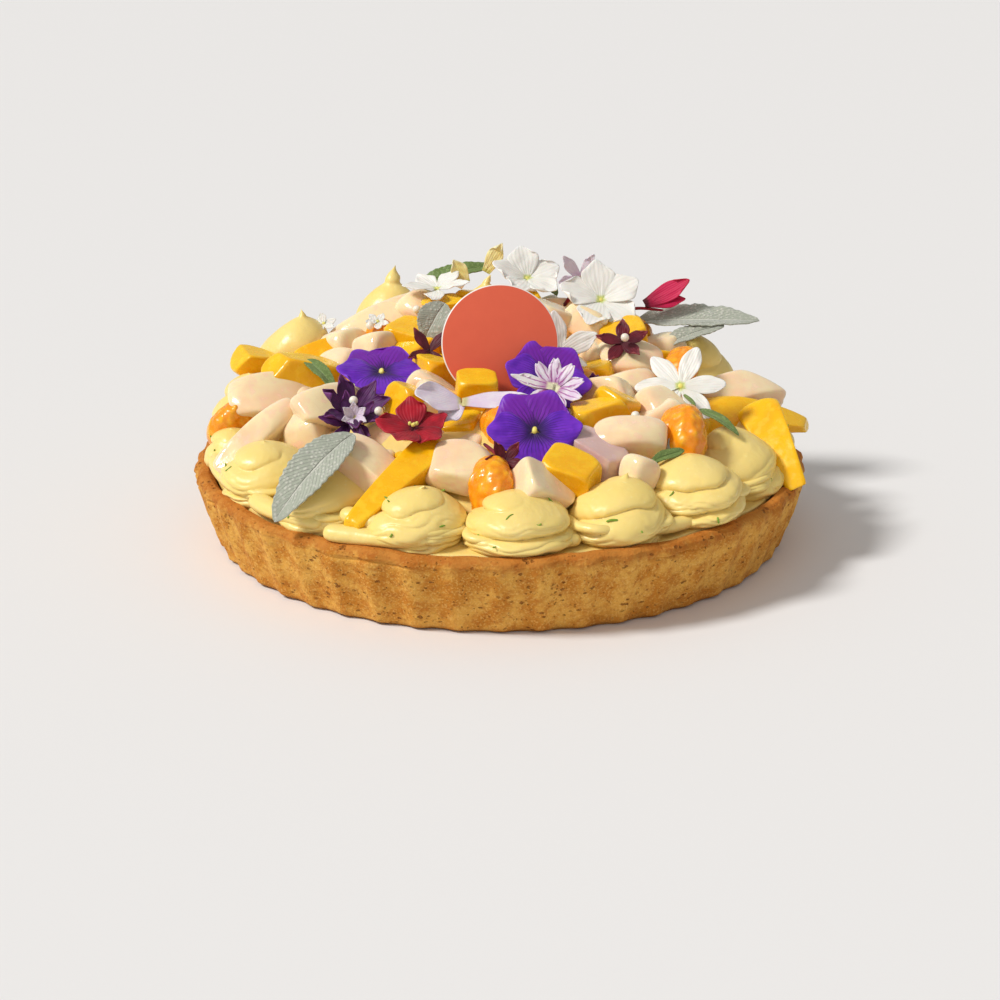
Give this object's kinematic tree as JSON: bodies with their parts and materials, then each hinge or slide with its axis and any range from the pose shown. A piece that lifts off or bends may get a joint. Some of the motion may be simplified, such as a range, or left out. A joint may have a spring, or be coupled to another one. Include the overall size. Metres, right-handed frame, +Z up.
{
  "type": "fruit tart",
  "caption": "Round fruit tart: a fluted shortcrust shell filled with lime cream, topped with piped kisses, cut fruit, edible flowers, sage leaves and a plain round topper.",
  "frame": {"origin": "centre of the tart on the flat underside of its shell, where it rests", "axes": "+Z up, -Y towards the front, where the plain face of the round topper looks, +X to the right seen from the front"},
  "size_m": [0.2404, 0.2394, 0.0994],
  "materials": {
    "shortcrust": "matt, baked and crumbly, browner at the rim",
    "lime_cream": "soft satin, smooth piped cream",
    "mango": "moist cut fruit",
    "mandarin": "moist, full of juice cells",
    "lychee": "moist, translucent white flesh",
    "viola": "velvety violet petals",
    "white_petal": "soft white petals",
    "red_petal": "velvety dark red petals",
    "lilac_petal": "soft pale lilac petals",
    "sage": "felted grey-green leaf",
    "topper": "plain satin card"
  },
  "bodies": {
    "root": {"cream_filling": "lime_cream", "cream_kiss_01": "lime_cream", "cream_kiss_02": "lime_cream", "cream_kiss_03": "lime_cream", "cream_kiss_04": "lime_cream", "cream_kiss_05": "lime_cream", "cream_kiss_06": "lime_cream", "cream_kiss_07": "lime_cream", "cream_kiss_08": "lime_cream", "cream_kiss_09": "lime_cream", "cream_kiss_10": "lime_cream", "cream_kiss_11": "lime_cream", "cream_kiss_12": "lime_cream", "cream_kiss_13": "lime_cream", "cream_kiss_14": "lime_cream", "cream_kiss_15": "lime_cream", "cream_kiss_16": "lime_cream", "cream_kiss_17": "lime_cream", "lilac_phlox": "lilac_petal", "lychee_back": "lychee", "lychee_front": "lychee", "lychee_left": "lychee", "lychee_lilac": "lychee", "lychee_low": "lychee", "lychee_middle": "lychee", "lychee_right": "lychee", "lychee_side": "lychee", "lychee_slab": "lychee", "lychee_small": "lychee", "lychee_strip": "lychee", "lychee_wedge": "lychee", "mandarin_back": "mandarin", "mandarin_front": "mandarin", "mandarin_left": "mandarin", "mandarin_right": "mandarin", "mango_cube_back": "mango", "mango_cube_edge": "mango", "mango_cube_front": "mango", "mango_cube_inner": "mango", "mango_cube_left": "mango", "mango_cube_middle": "mango", "mango_cube_right": "mango", "mango_cube_top": "mango", "mango_cube_topper": "mango", "mango_cube_wedge": "mango", "mango_slice_front": "mango", "mango_slice_right": "mango", "mango_slice_side": "mango", "red_phlox": "red_petal", "round_topper": "topper", "sage_leaf_back": "sage", "sage_leaf_front": "sage", "tart_shell": "shortcrust", "viola_centre": "viola", "viola_front": "viola", "viola_left": "viola", "white_phlox_back": "white_petal", "white_phlox_left": "white_petal", "white_phlox_right": "white_petal", "white_phlox_top": "white_petal"}
  },
  "joints": []
}
